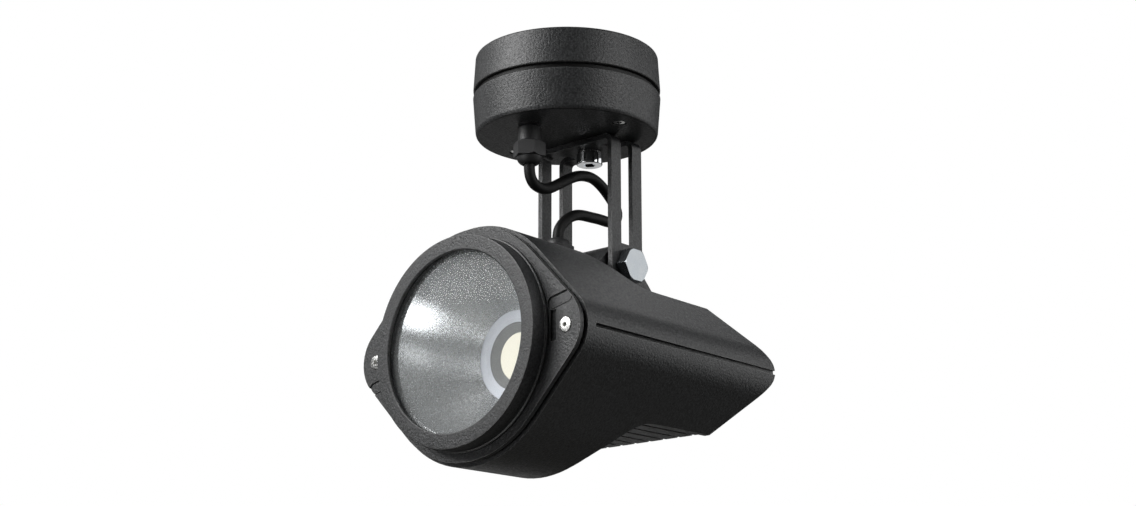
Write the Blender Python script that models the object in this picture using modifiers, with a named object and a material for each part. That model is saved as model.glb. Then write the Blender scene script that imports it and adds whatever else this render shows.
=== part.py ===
"""Ceiling-mounted LED projector: a round canopy, a slotted yoke that pans on a bolt, and a lamp that tilts in it.

Metres, +Z up. The origin is the centre of the canopy's ceiling face. The lamp shines towards -Y at rest.
"""

import math

import bmesh
import bpy
from mathutils import Matrix, Vector

MM = 0.001
GAP = 0.3 * MM  # running gap between neighbouring solids

# Canopy
BASE_TOP_R = 50.5 * MM
SEAM_R = 51.6 * MM
COVER_LOW_R = 49.9 * MM
BASE_HEIGHT = 20.3 * MM
SEAM_GAP = 3.1 * MM
CANOPY_HEIGHT = 45.9 * MM
WALL = 2.6 * MM
FLOOR = 3.0 * MM
COVER_SCREW_X = 37.6 * MM
CEILING_SLOT_X = 25.0 * MM

# Yoke, turning on the pan axis
PAN_Y = 19.0 * MM
YOKE_HALF = 26.75 * MM
STRIP = 3.0 * MM
YOKE_WIDTH = 25.4 * MM
SLOT_WIDTH = 9.6 * MM
BEND_R = 5.0 * MM
PIVOT_Z = -119.9 * MM
SLOT_END_ABOVE_PIVOT = 12.5 * MM

# Lamp, measured from the tilt pivot: DROP down to the optical axis, then forwards along it
DROP = 54.5 * MM
BEZEL_FRONT = 105.6 * MM
BEZEL_R = 54.6 * MM
BEZEL_BORE_R = 46.7 * MM
FLANGE_FRONT = 95.1 * MM
FLANGE_R = 60.0 * MM
EAR_X = 56.1 * MM
FLANGE_EAR_R = 19.8 * MM
HOUSING_FRONT = 91.0 * MM
HOUSING_REAR = -65.0 * MM
HOUSING_R = 61.8 * MM
HOUSING_EAR_R = 21.2 * MM
DRAFT = 0.025  # how much the section shrinks from the front face to the rear tip
FLAT_UP = 35.0 * MM
FLANGE_SCREW_X = 66.3 * MM
GROOVE_WIDTH = 2.2 * MM
GROOVE_DEPTH = 2.5 * MM
FIN_PITCH = 10.0 * MM
FIN_GAP = 2.2 * MM
RECESS_X = 47.4 * MM  # half the width of the finned area
RECESS_DEEP = 1.2 * MM
WEB_HALF = 4.0 * MM
CAVITY_R = 56.5 * MM
CAVITY_FLOOR = 53.5 * MM
LUG_R = 13.0 * MM
LUG_HALF = 22.0 * MM
LED_R = 12.6 * MM
THROAT_R = 23.8 * MM
THROAT = 60.5 * MM
MOUTH_R = 46.9 * MM
MOUTH = 97.7 * MM

# Pivot bolt, M10
BOLT_R = 5.0 * MM
BOLT_HEX = 17.0 * MM
BOLT_HEAD = 6.4 * MM

# Cord and its M12 glands
CORD_R = 3.0 * MM
GLAND_Y = -30.2 * MM
LAMP_GLAND_Y = -7.2 * MM
LAMP_GLAND_UP = 47.0 * MM  # above the optical axis
GLAND_HEX = 15.0 * MM
GLAND_TALL = 22.5 * MM

PIVOT = Vector((0, PAN_Y, PIVOT_Z))
AXIS_Z = PIVOT_Z - DROP
TO_FRONT = math.pi / 2  # about X: local +Z then points to the lamp's front and local +Y up


# ---------------------------------------------------------------- scene and tools


def clear_scene():
    for thing in list(bpy.data.objects):
        bpy.data.objects.remove(thing, do_unlink=True)


def new_collection(name):
    made = bpy.data.collections.new(name)
    bpy.context.scene.collection.children.link(made)
    return made


clear_scene()
PARTS = new_collection("ceiling_projector")
CUTTERS = new_collection("cutters")
CUTTERS.hide_render = True


def material(name, colour, roughness, metallic=0.0, glow=0.0, alpha=1.0):
    made = bpy.data.materials.new(name)
    made.use_nodes = True
    shader = made.node_tree.nodes["Principled BSDF"]
    shader.inputs["Base Color"].default_value = (*colour, 1.0)
    shader.inputs["Roughness"].default_value = roughness
    shader.inputs["Metallic"].default_value = metallic
    shader.inputs["Alpha"].default_value = alpha
    shader.inputs["Emission Color"].default_value = (*colour, 1.0)
    shader.inputs["Emission Strength"].default_value = glow
    return made


POWDER_COAT = ("powder_coat", (0.022, 0.023, 0.024), 0.55)
BLACK_RUBBER = ("black_rubber", (0.012, 0.012, 0.012), 0.7)
BLACK_NYLON = ("black_nylon", (0.015, 0.015, 0.016), 0.5)
ZINC_STEEL = ("zinc_plated_steel", (0.55, 0.57, 0.58), 0.3, 1.0)
CHROME = ("chrome", (0.75, 0.76, 0.77), 0.08, 1.0)
STAINLESS = ("stainless_steel", (0.6, 0.6, 0.61), 0.3, 1.0)
ALUMINIUM = ("satin_aluminium", (0.8, 0.81, 0.82), 0.3, 1.0)
CLEAR_GLASS = ("clear_glass", (0.95, 0.97, 0.97), 0.02, 0.0, 0.0, 0.2)
WHITE_PLASTIC = ("white_plastic", (0.75, 0.77, 0.8), 0.4)
GREY_PLASTIC = ("grey_plastic", (0.3, 0.31, 0.32), 0.5)
CERAMIC = ("ceramic", (0.55, 0.55, 0.53), 0.4)
PHOSPHOR = ("phosphor", (1.0, 0.95, 0.8), 0.5, 0.0, 3.0)
THERMAL_PAD = ("thermal_pad", (0.35, 0.35, 0.38), 0.8)


def finish(thing, look, parent=None, location=(0, 0, 0), rotation=(0, 0, 0)):
    """Gives a part its own material and its place, and rounds off its shading."""
    thing.data.materials.clear()
    thing.data.materials.append(material(f"{thing.name}_{look[0]}", *look[1:]))
    place(thing, parent, location, rotation)
    if thing.type == "MESH":
        thing.data.shade_smooth()
        thing.data.set_sharp_from_angle(angle=math.radians(35))
    return thing


def place(thing, parent, location=(0, 0, 0), rotation=(0, 0, 0)):
    thing.parent = parent
    thing.location = location
    thing.rotation_euler = rotation
    return thing


def empty(name, parent=None, location=(0, 0, 0), rotation=(0, 0, 0)):
    made = bpy.data.objects.new(name, None)
    PARTS.objects.link(made)
    return place(made, parent, location, rotation)


def link(name, mesh, cutter=False):
    made = bpy.data.objects.new(name, mesh)
    (CUTTERS if cutter else PARTS).objects.link(made)
    if cutter:
        made.hide_render = True
        made.display_type = "WIRE"
    return made


def turned(name, profile, steps=32, cutter=False):
    """A turned piece: (radius, height) points that run down its outer side, closed unless both ends lie on the axis."""
    mesh = bpy.data.meshes.new(name)
    count = len(profile)
    closed = profile[0][0] > 0 or profile[-1][0] > 0
    edges = [(i, (i + 1) % count) for i in range(count if closed else count - 1)]
    mesh.from_pydata([(radius, 0, height) for radius, height in profile], edges, [])
    made = link(name, mesh, cutter)
    screw = made.modifiers.new("turn", "SCREW")
    screw.steps = steps
    screw.render_steps = steps
    screw.use_merge_vertices = True
    screw.merge_threshold = 1e-6
    screw.use_smooth_shade = True
    return made


def disc(name, radius, low, high, steps=24, cutter=False):
    return turned(name, [(0, high), (radius, high), (radius, low), (0, low)], steps, cutter)


def ring(name, inner, outer, low, high, steps=32):
    return turned(name, [(inner, high), (outer, high), (outer, low), (inner, low)], steps)


def prism(name, outline, low, high, cutter=False):
    """A flat outline, extruded from low to high along local Z, as a mesh."""
    curve = bpy.data.curves.new(name, "CURVE")
    curve.dimensions = "2D"
    curve.fill_mode = "BOTH"
    curve.extrude = (high - low) / 2
    spline = curve.splines.new("POLY")
    spline.points.add(len(outline) - 1)
    for point, (x, y) in zip(spline.points, outline):
        point.co = (x, y, 0, 1)
    spline.use_cyclic_u = True
    source = bpy.data.objects.new(name + "_outline", curve)
    PARTS.objects.link(source)
    bpy.context.view_layer.update()
    mesh = bpy.data.meshes.new_from_object(source.evaluated_get(bpy.context.evaluated_depsgraph_get()))
    bpy.data.objects.remove(source, do_unlink=True)
    bpy.data.curves.remove(curve)
    mesh.name = name
    mesh.transform(Matrix.Translation((0, 0, (low + high) / 2)))
    weld(mesh)
    made = link(name, mesh, cutter)
    return made


def weld(mesh):
    """Joins the caps to the walls, and turns the caps' triangles into one face each."""
    work = bmesh.new()
    work.from_mesh(mesh)
    bmesh.ops.remove_doubles(work, verts=work.verts, dist=1e-6)
    bmesh.ops.dissolve_limit(work, angle_limit=1e-4, verts=work.verts, edges=work.edges)
    bmesh.ops.recalc_face_normals(work, faces=work.faces)
    work.to_mesh(mesh)
    work.free()


def block(name, size, centre=(0, 0, 0), bevel=0.0, cutter=False):
    bpy.ops.mesh.primitive_cube_add(size=1)
    made = bpy.context.object
    made.name = name
    made.data.name = name
    made.data.transform(Matrix.Translation(centre) @ Matrix.Diagonal((*size, 1)))
    move_to(made, cutter)
    if bevel:
        soften(made, bevel)
    return made


def hexagon(name, across, low, high, turn=0.0, cutter=False):
    """A hexagonal prism along local Z, with its corners on X when turn is 0."""
    bpy.ops.mesh.primitive_cone_add(
        vertices=6, radius1=across / math.sqrt(3), radius2=across / math.sqrt(3), depth=high - low
    )
    made = bpy.context.object
    made.name = name
    made.data.name = name
    spin = Matrix.Rotation(turn + math.pi / 6, 4, "Z")
    made.data.transform(Matrix.Translation((0, 0, (low + high) / 2)) @ spin)
    move_to(made, cutter)
    return made


def move_to(thing, cutter):
    for owner in list(thing.users_collection):
        owner.objects.unlink(thing)
    (CUTTERS if cutter else PARTS).objects.link(thing)
    if cutter:
        thing.hide_render = True
        thing.display_type = "WIRE"


def soften(thing, width, segments=2):
    bevel = thing.modifiers.new("edges", "BEVEL")
    bevel.width = width
    bevel.segments = segments
    bevel.limit_method = "ANGLE"
    bevel.angle_limit = math.radians(40)


MANY_CUTS = {"lamp_housing", "front_flange"}  # closed meshes whose long chain of cuts leaves slivers in EXACT


def boolean(thing, other, operation):
    step = thing.modifiers.new(f"{operation.lower()}_{other.name}", "BOOLEAN")
    step.operation = operation
    step.object = other
    step.solver = "MANIFOLD" if thing.name in MANY_CUTS else "EXACT"
    return thing


def cut(thing, other, parent=None, location=(0, 0, 0), rotation=(0, 0, 0)):
    place(other, parent, location, rotation)
    return boolean(thing, other, "DIFFERENCE")


def join(thing, other, parent=None, location=(0, 0, 0), rotation=(0, 0, 0)):
    place(other, parent, location, rotation)
    return boolean(thing, other, "UNION")


def arc(centre_x, centre_y, radius, start, end, steps):
    """Points of an arc, angles in degrees, both ends included."""
    turns = [math.radians(start + (end - start) * i / steps) for i in range(steps + 1)]
    return [(centre_x + radius * math.cos(a), centre_y + radius * math.sin(a)) for a in turns]


def lens_outline(radius, ear_x, ear_r, steps=16):
    """A circle with a smaller rounded ear on each side, joined by straight flanks."""
    flank = math.degrees(math.acos((radius - ear_r) / ear_x))
    right = arc(ear_x, 0, ear_r, -flank, flank, steps // 2)
    top = arc(0, 0, radius, flank, 180 - flank, steps)
    left = arc(-ear_x, 0, ear_r, 180 - flank, 180 + flank, steps // 2)
    bottom = arc(0, 0, radius, 180 + flank, 360 - flank, steps)
    return right + top + left + bottom


# ---------------------------------------------------------------- the three bodies' frames

canopy_frame = empty("canopy_frame")
yoke_frame = empty("yoke_frame", None, (0, PAN_Y, 0))
pivot_frame = empty("pivot_frame", yoke_frame, (0, 0, PIVOT_Z))
optical_frame = empty("optical_frame", pivot_frame, (0, 0, -DROP), (TO_FRONT, 0, 0))


# ---------------------------------------------------------------- canopy


def build_canopy_base():
    """The dish that is screwed to the ceiling. Two posts inside take the cover screws."""
    low = -BASE_HEIGHT
    base = turned(
        "canopy_base",
        [
            (0, 0), (BASE_TOP_R - 1.6 * MM, 0), (BASE_TOP_R - 0.4 * MM, -0.5 * MM), (BASE_TOP_R, -1.6 * MM),
            (SEAM_R, low + 0.5 * MM), (SEAM_R - 0.5 * MM, low), (SEAM_R - WALL, low),
            (BASE_TOP_R - WALL, -FLOOR), (0, -FLOOR),
        ],
        48,
    )
    for side in (-1, 1):
        post = disc(f"base_post_{side}", 4.2 * MM, low + 0.4 * MM, -FLOOR / 2, 20, True)
        join(base, post, None, (side * COVER_SCREW_X, 0, 0))
        bore = disc(f"base_post_bore_{side}", 2.0 * MM + GAP, low - MM, -FLOOR - 2 * MM, 16, True)
        cut(base, bore, None, (side * COVER_SCREW_X, 0, 0))
        slot = block(f"ceiling_slot_{side}", (4.6 * MM, 12 * MM, 3 * FLOOR), cutter=True)
        cut(base, slot, None, (side * CEILING_SLOT_X, 8 * MM, 0))
    entry = disc("cable_entry_bore", 6.5 * MM, -3 * FLOOR, 3 * FLOOR, 24, True)
    cut(base, entry, None, (0, -14 * MM, 0))
    finish(base, POWDER_COAT, canopy_frame)


def build_entry_grommet():
    """The rubber ring that the mains cable comes through."""
    low = -FLOOR - 1.6 * MM
    lip = -FLOOR - GAP
    grommet = turned(
        "entry_grommet",
        [
            (3.4 * MM, -0.4 * MM), (6.2 * MM, -0.4 * MM), (6.2 * MM, lip), (8.4 * MM, lip),
            (8.4 * MM, low), (3.4 * MM, low),
        ],
        24,
    )
    finish(grommet, BLACK_RUBBER, canopy_frame, (0, -14 * MM, 0))


def build_canopy_gasket():
    """A flat seal, set back in the seam between base and cover."""
    low = -BASE_HEIGHT - SEAM_GAP + GAP
    high = -BASE_HEIGHT - GAP
    seal = ring("canopy_gasket", SEAM_R - WALL - 1.5 * MM, SEAM_R - 2.0 * MM, low, high, 48)
    finish(seal, BLACK_RUBBER, canopy_frame)


def build_canopy_cover():
    """The lower dish. It carries the pan bolt, the cord gland and the two screws that hold it up."""
    rim = -BASE_HEIGHT - SEAM_GAP
    low = -CANOPY_HEIGHT
    inside = low + FLOOR
    cover = turned(
        "canopy_cover",
        [
            (0, inside), (COVER_LOW_R - WALL, inside), (SEAM_R - WALL, rim), (SEAM_R - 0.5 * MM, rim),
            (SEAM_R, rim - 0.5 * MM), (COVER_LOW_R + 0.1 * MM, low + 2.0 * MM), (COVER_LOW_R - 0.5 * MM, low + 0.7 * MM),
            (COVER_LOW_R - 1.8 * MM, low), (0, low),
        ],
        48,
    )
    for side in (-1, 1):
        sleeve = disc(f"cover_sleeve_{side}", 5.6 * MM, low + MM, rim + 2.2 * MM, 20, True)
        join(cover, sleeve, None, (side * COVER_SCREW_X, 0, 0))
        hole = disc(f"cover_hole_{side}", 2.0 * MM + GAP, low - MM, rim + 5 * MM, 16, True)
        cut(cover, hole, None, (side * COVER_SCREW_X, 0, 0))
        sink = disc(f"cover_counterbore_{side}", 3.9 * MM, low - MM, low + 4.2 * MM, 20, True)
        cut(cover, sink, None, (side * COVER_SCREW_X, 0, 0))
    gland = disc("gland_hole", 6.2 * MM, low - MM, inside + MM, 24, True)
    cut(cover, gland, None, (0, GLAND_Y, 0))
    bolt = disc("pan_hole", 4.0 * MM + GAP, low - MM, inside + MM, 24, True)
    cut(cover, bolt, None, (0, PAN_Y, 0))
    seat = disc("pan_washer_seat", 12.6 * MM, low - MM, low + 0.9 * MM, 24, True)
    cut(cover, seat, None, (0, PAN_Y, 0))
    finish(cover, POWDER_COAT, canopy_frame)


def socket_screw(name, head_r, head_tall, shank_r, length, socket, parent, location, rotation):
    """A cap screw along local Z: its head's outer face at 0, its shank towards +Z."""
    chamfer = 0.4 * MM
    screw = turned(
        name,
        [
            (0, length), (shank_r - chamfer, length), (shank_r, length - chamfer), (shank_r, head_tall),
            (head_r, head_tall), (head_r, chamfer), (head_r - chamfer, 0), (0, 0),
        ],
        20,
    )
    socket_cut = hexagon(name + "_socket", socket, -MM, head_tall * 0.6, cutter=True)
    cut(screw, socket_cut, parent, location, rotation)
    finish(screw, STAINLESS, parent, location, rotation)


def build_cover_screws():
    for name, side in (("cover_screw_left", -1), ("cover_screw_right", 1)):
        head_at = (side * COVER_SCREW_X, 0, -CANOPY_HEIGHT + 0.5 * MM)
        socket_screw(name, 3.5 * MM, 3.2 * MM, 2.0 * MM, 36 * MM, 2.6 * MM, canopy_frame, head_at, (0, 0, 0))


def build_canopy_electrics():
    """The power supply and the terminal block that share the canopy."""
    supply = block("led_driver", (50 * MM, 24 * MM, 17 * MM), (0, 0, 0), 1.5 * MM)
    finish(supply, WHITE_PLASTIC, canopy_frame, (0, 16 * MM, -14 * MM))
    terminals = block("terminal_block", (24 * MM, 12 * MM, 11 * MM), (0, 0, 0), 0.6 * MM)
    for pole in (-1, 0, 1):
        port = disc(f"terminal_port_{pole}", 1.7 * MM, -7 * MM, 0, 12, True)
        cut(terminals, port, canopy_frame, (pole * 7.5 * MM, -15 * MM, -21 * MM))
    finish(terminals, GREY_PLASTIC, canopy_frame, (0, -15 * MM, -21 * MM))


def build_pan_bearing():
    """The chrome pan bolt, its nut and washers. The yoke turns between the washers."""
    web_low = -CANOPY_HEIGHT - 0.4 * MM - STRIP
    head_low = -57.0 * MM
    head_top = web_low - 1.3 * MM
    bolt = turned(
        "pan_bolt",
        [
            (0, -30 * MM), (3.6 * MM, -30 * MM), (4 * MM, -30.4 * MM), (4 * MM, head_top),
            (7.2 * MM, head_top), (7.2 * MM, head_low + 0.8 * MM), (6.4 * MM, head_low), (0, head_low),
        ],
        28,
    )
    cut(bolt, hexagon("pan_bolt_socket", 6 * MM, head_low - MM, head_low + 3.5 * MM, cutter=True), yoke_frame)
    finish(bolt, CHROME, yoke_frame)
    nut_low = -CANOPY_HEIGHT + FLOOR + GAP
    nut = hexagon("pan_nut", 13 * MM, nut_low, nut_low + 6.5 * MM)
    cut(nut, disc("pan_nut_bore", 4 * MM + GAP, nut_low - MM, nut_low + 8 * MM, 24, True), yoke_frame)
    finish(nut, ZINC_STEEL, yoke_frame)
    friction = ring("pan_friction_washer", 4.4 * MM, 12.2 * MM, -CANOPY_HEIGHT - 0.1 * MM, -CANOPY_HEIGHT + 0.6 * MM)
    finish(friction, BLACK_NYLON, yoke_frame)
    spring = ring("pan_spring_washer", 4.4 * MM, 6.8 * MM, web_low - 1.0 * MM, web_low - GAP, 32)
    finish(spring, STAINLESS, yoke_frame)


# ---------------------------------------------------------------- cord glands


def build_gland(prefix, thread, parent, location, rotation):
    """A nylon M12 gland along local Z, from the wall at 0. The thread goes into the wall."""
    hex_tall = 5.6 * MM
    neck_top = 10.0 * MM
    cap_top = 19.0 * MM
    body = hexagon(prefix + "_gland_body", GLAND_HEX, GAP, hex_tall, math.pi / 6)
    stem = turned(
        prefix + "_gland_stem",
        [
            (0, 14 * MM), (5.8 * MM, 14 * MM), (5.8 * MM, neck_top), (6.5 * MM, neck_top), (6.5 * MM, 2 * MM),
            (5.9 * MM, MM), (5.9 * MM, -thread), (0, -thread),
        ],
        24,
        True,
    )
    join(body, stem, parent, location, rotation)
    bore = disc(prefix + "_gland_bore", CORD_R + 0.4 * MM, -thread - MM, 16 * MM, 20, True)
    cut(body, bore, parent, location, rotation)
    finish(body, BLACK_NYLON, parent, location, rotation)

    seal = ring(prefix + "_gland_seal", CORD_R + GAP, 5.7 * MM, 14.4 * MM, 18.4 * MM, 20)
    finish(seal, BLACK_RUBBER, parent, location, rotation)

    cap = hexagon(prefix + "_gland_cap", GLAND_HEX + 0.4 * MM, neck_top + GAP, cap_top, math.pi / 6)
    dome = turned(
        prefix + "_gland_dome",
        [
            (0, GLAND_TALL), (4.6 * MM, GLAND_TALL), (5.8 * MM, GLAND_TALL - 0.6 * MM),
            (6.6 * MM, GLAND_TALL - 1.8 * MM), (7.0 * MM, cap_top - 0.6 * MM), (7.0 * MM, cap_top - 2 * MM),
            (0, cap_top - 2 * MM),
        ],
        24,
        True,
    )
    join(cap, dome, parent, location, rotation)
    room = turned(
        prefix + "_gland_room",
        [
            (0, GLAND_TALL + MM), (CORD_R + 0.5 * MM, GLAND_TALL + MM), (CORD_R + 0.5 * MM, cap_top - 0.2 * MM),
            (6.1 * MM, cap_top - 0.2 * MM), (6.1 * MM, neck_top - MM), (0, neck_top - MM),
        ],
        24,
        True,
    )
    cut(cap, room, parent, location, rotation)
    finish(cap, BLACK_NYLON, parent, location, rotation)


def build_gland_locknut():
    low = -CANOPY_HEIGHT + FLOOR + GAP
    nut = hexagon("gland_locknut", GLAND_HEX, low, low + 3.5 * MM, math.pi / 6)
    cut(nut, disc("locknut_bore", 6.2 * MM, low - MM, low + 5 * MM, 24, True), canopy_frame, (0, GLAND_Y, 0))
    finish(nut, BLACK_NYLON, canopy_frame, (0, GLAND_Y, 0))


# ---------------------------------------------------------------- yoke


def build_yoke():
    """Flat bar bent into a U. A long slot leaves two strips on each arm, and each foot is rounded on the pivot."""
    top = -CANOPY_HEIGHT - 0.4 * MM
    foot = PIVOT_Z
    half = YOKE_HALF
    inner = half - STRIP
    inner_r = BEND_R - STRIP
    low = foot - YOKE_WIDTH / 2
    outside = arc(half - BEND_R, top - BEND_R, BEND_R, 0, 90, 6)
    inside = arc(half - BEND_R, top - BEND_R, inner_r, 90, 0, 6)
    right = [(half, low)] + outside
    left = [(-x, z) for x, z in reversed(right)]
    inner_left = [(-x, z) for x, z in reversed(inside + [(inner, low)])]
    bar = prism("yoke_bracket", right + left + inner_left + inside + [(inner, low)], -YOKE_WIDTH / 2, YOKE_WIDTH / 2)
    upright = (math.pi / 2, 0, 0)
    spare = 5 * MM
    side_outline = [(-YOKE_WIDTH / 2, top + spare)] + arc(0, foot, YOKE_WIDTH / 2, 180, 360, 16)
    side_outline += [(YOKE_WIDTH / 2, top + spare)]
    profile = prism("yoke_side", side_outline, -half - spare, half + spare, True)
    profile.data.transform(Matrix.Rotation(math.pi / 2, 4, "Z") @ Matrix.Rotation(math.pi / 2, 4, "X"))
    place(profile, yoke_frame)
    boolean(bar, profile, "INTERSECT")
    slot_low = foot + SLOT_END_ABOVE_PIVOT
    slot_web = 14 * MM
    for side in (-1, 1):
        wide = half - slot_web + spare
        tall = top + spare - slot_low
        slot = block(f"yoke_slot_{side}", (wide, SLOT_WIDTH, tall), cutter=True)
        cut(bar, slot, yoke_frame, (side * (slot_web + wide / 2), 0, slot_low + tall / 2))
    pivot_bore = disc("yoke_pivot_bore", BOLT_R + GAP, -half - spare, half + spare, 24, True)
    cut(bar, pivot_bore, yoke_frame, (0, 0, foot), (0, math.pi / 2, 0))
    pan_bore = disc("yoke_pan_bore", 4 * MM + GAP, top - 2 * STRIP, top + spare, 24, True)
    cut(bar, pan_bore, yoke_frame)
    finish(bar, POWDER_COAT, yoke_frame, (0, 0, 0), upright)
    bar.data.transform(Matrix.Identity(4))


def build_pivot():
    """The M10 bolt that the lamp tilts on, with a friction washer each side of the lug and a nut at the far end."""
    along = (0, math.pi / 2, 0)  # local +Z then points to +X
    head_in = YOKE_HALF + GAP
    head_out = head_in + BOLT_HEAD
    bolt = hexagon("pivot_bolt", BOLT_HEX, head_in, head_out, math.pi / 2)
    shank = disc("pivot_shank", BOLT_R, -40 * MM, head_in + MM, 24, True)
    join(bolt, shank, pivot_frame, (0, 0, 0), along)
    finish(bolt, ZINC_STEEL, pivot_frame, (0, 0, 0), along)

    washer = ring("pivot_washer", BOLT_R + GAP, 10 * MM, -YOKE_HALF - GAP - 2 * MM, -YOKE_HALF - GAP, 32)
    finish(washer, ZINC_STEEL, pivot_frame, (0, 0, 0), along)

    nut_in = -YOKE_HALF - 2 * GAP - 2 * MM
    nut = hexagon("pivot_nut", BOLT_HEX, nut_in - 8 * MM, nut_in, math.pi / 2)
    bore = disc("pivot_nut_bore", BOLT_R + GAP, nut_in - 10 * MM, nut_in + MM, 24, True)
    cut(nut, bore, pivot_frame, (0, 0, 0), along)
    finish(nut, ZINC_STEEL, pivot_frame, (0, 0, 0), along)

    inner = LUG_HALF + GAP
    outer = YOKE_HALF - STRIP - GAP
    for name, low, high in (("tilt_friction_washer_left", -outer, -inner), ("tilt_friction_washer_right", inner, outer)):
        pad = ring(name, BOLT_R + GAP, 11.5 * MM, low, high, 32)
        finish(pad, BLACK_NYLON, pivot_frame, (0, 0, 0), along)


# The cord lies in the plane X = 0: (Y, Z) in millimetres, from the canopy gland over one loop to the lamp gland
CORD_ROUTE = [
    (-30.2, -58.0), (-30.2, -66.0), (-30.1, -71.3), (-29.0, -75.4), (-26.0, -78.4), (-20.9, -79.4), (-15.0, -78.2),
    (-7.7, -74.4), (0.5, -69.6), (8.6, -65.7), (16.0, -64.0), (22.5, -64.2), (29.1, -66.7), (35.5, -71.0),
    (40.9, -76.0), (42.6, -80.6), (40.4, -84.6), (34.7, -86.2), (27.0, -86.3), (20.1, -86.7), (13.5, -87.1),
    (8.0, -88.1), (2.4, -90.7), (-2.5, -94.6), (-5.8, -98.6), (-7.1, -102.6), (-7.2, -108.0), (-7.2, -114.0),
]


def smooth_route(points, per_span=3):
    """Points of one smooth curve through the given ones (Catmull-Rom)."""
    line = [Vector((0, y * MM, z * MM)) for y, z in points]
    line = [2 * line[0] - line[1]] + line + [2 * line[-1] - line[-2]]
    made = []
    for i in range(1, len(line) - 2):
        before, start, end, after = line[i - 1 : i + 3]
        for step in range(per_span):
            t = step / per_span
            bend = 2 * before - 5 * start + 4 * end - after
            ease = 3 * start - before - 3 * end + after
            made.append(start + ((end - before) * t + bend * t**2 + ease * t**3) / 2)
    return made + [line[-2]]


def build_cord():
    curve = bpy.data.curves.new("supply_cord", "CURVE")
    curve.dimensions = "3D"
    curve.bevel_depth = CORD_R
    curve.bevel_resolution = 2
    curve.use_fill_caps = True
    route = smooth_route(CORD_ROUTE, 2)
    spline = curve.splines.new("POLY")
    spline.points.add(len(route) - 1)
    for point, at in zip(spline.points, route):
        point.co = (*at, 1)
    cord = bpy.data.objects.new("supply_cord", curve)
    PARTS.objects.link(cord)
    finish(cord, BLACK_RUBBER, yoke_frame, (0, -PAN_Y, 0))


# ---------------------------------------------------------------- lamp housing


def shoulder_and_flat(side):
    """Half of the housing's side view, (forwards, up) in metres: front face, shoulder, flat, slanted end and nose."""
    points = [
        (92.0, 75.0), (39.5, 75.0), (39.5, 61.0), (38.9, 57.6), (37.4, 54.2), (35.0, 51.0),
        (28.6, 44.6), (24.0, 40.6), (19.6, 37.6), (15.4, 35.9), (11.0, 35.2), (4.0, 35.0), (-38.2, 34.6),
    ]
    nose_r = 11.5
    tip = HOUSING_REAR / MM
    nose = [(-x, y) for x, y in arc(-tip - nose_r, 0, nose_r, 42, 0, 5)]
    outline = points + nose
    return [(forward * MM, side * up * MM) for forward, up in outline]


def build_rear_recess(housing, across):
    """Sets the fins a little below the skin: takes off a thin layer, with rounded front corners."""
    deep = RECESS_DEEP / MM
    core_r = 11.5 - deep
    core_tip = -HOUSING_REAR / MM - 11.5
    half = [(30.0, 35.0 - deep), (-38.2, 34.6 - deep)]
    half += [(-x, y) for x, y in arc(core_tip, 0, core_r, 42, 0, 5)]
    core_view = half + [(x, -y) for x, y in reversed(half[:-1])]
    core = prism("recess_core", [(x * MM, y * MM) for x, y in core_view], -80 * MM, 80 * MM, True)
    place(core, optical_frame, (0, 0, 0), across)

    corner = 9.0
    side = RECESS_X / MM - corner
    plan = arc(side, 24.0 - corner, corner, 0, 90, 6) + arc(-side, 24.0 - corner, corner, 90, 180, 6)
    plan += [(-side - corner, -80.0), (side + corner, -80.0)]
    recess = prism("rear_recess", [(x * MM, y * MM) for x, y in plan], -37 * MM, 37 * MM, True)
    boolean(recess, core, "DIFFERENCE")
    cut(housing, recess, optical_frame, (0, 0, 0), (math.pi / 2, 0, 0))


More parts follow.
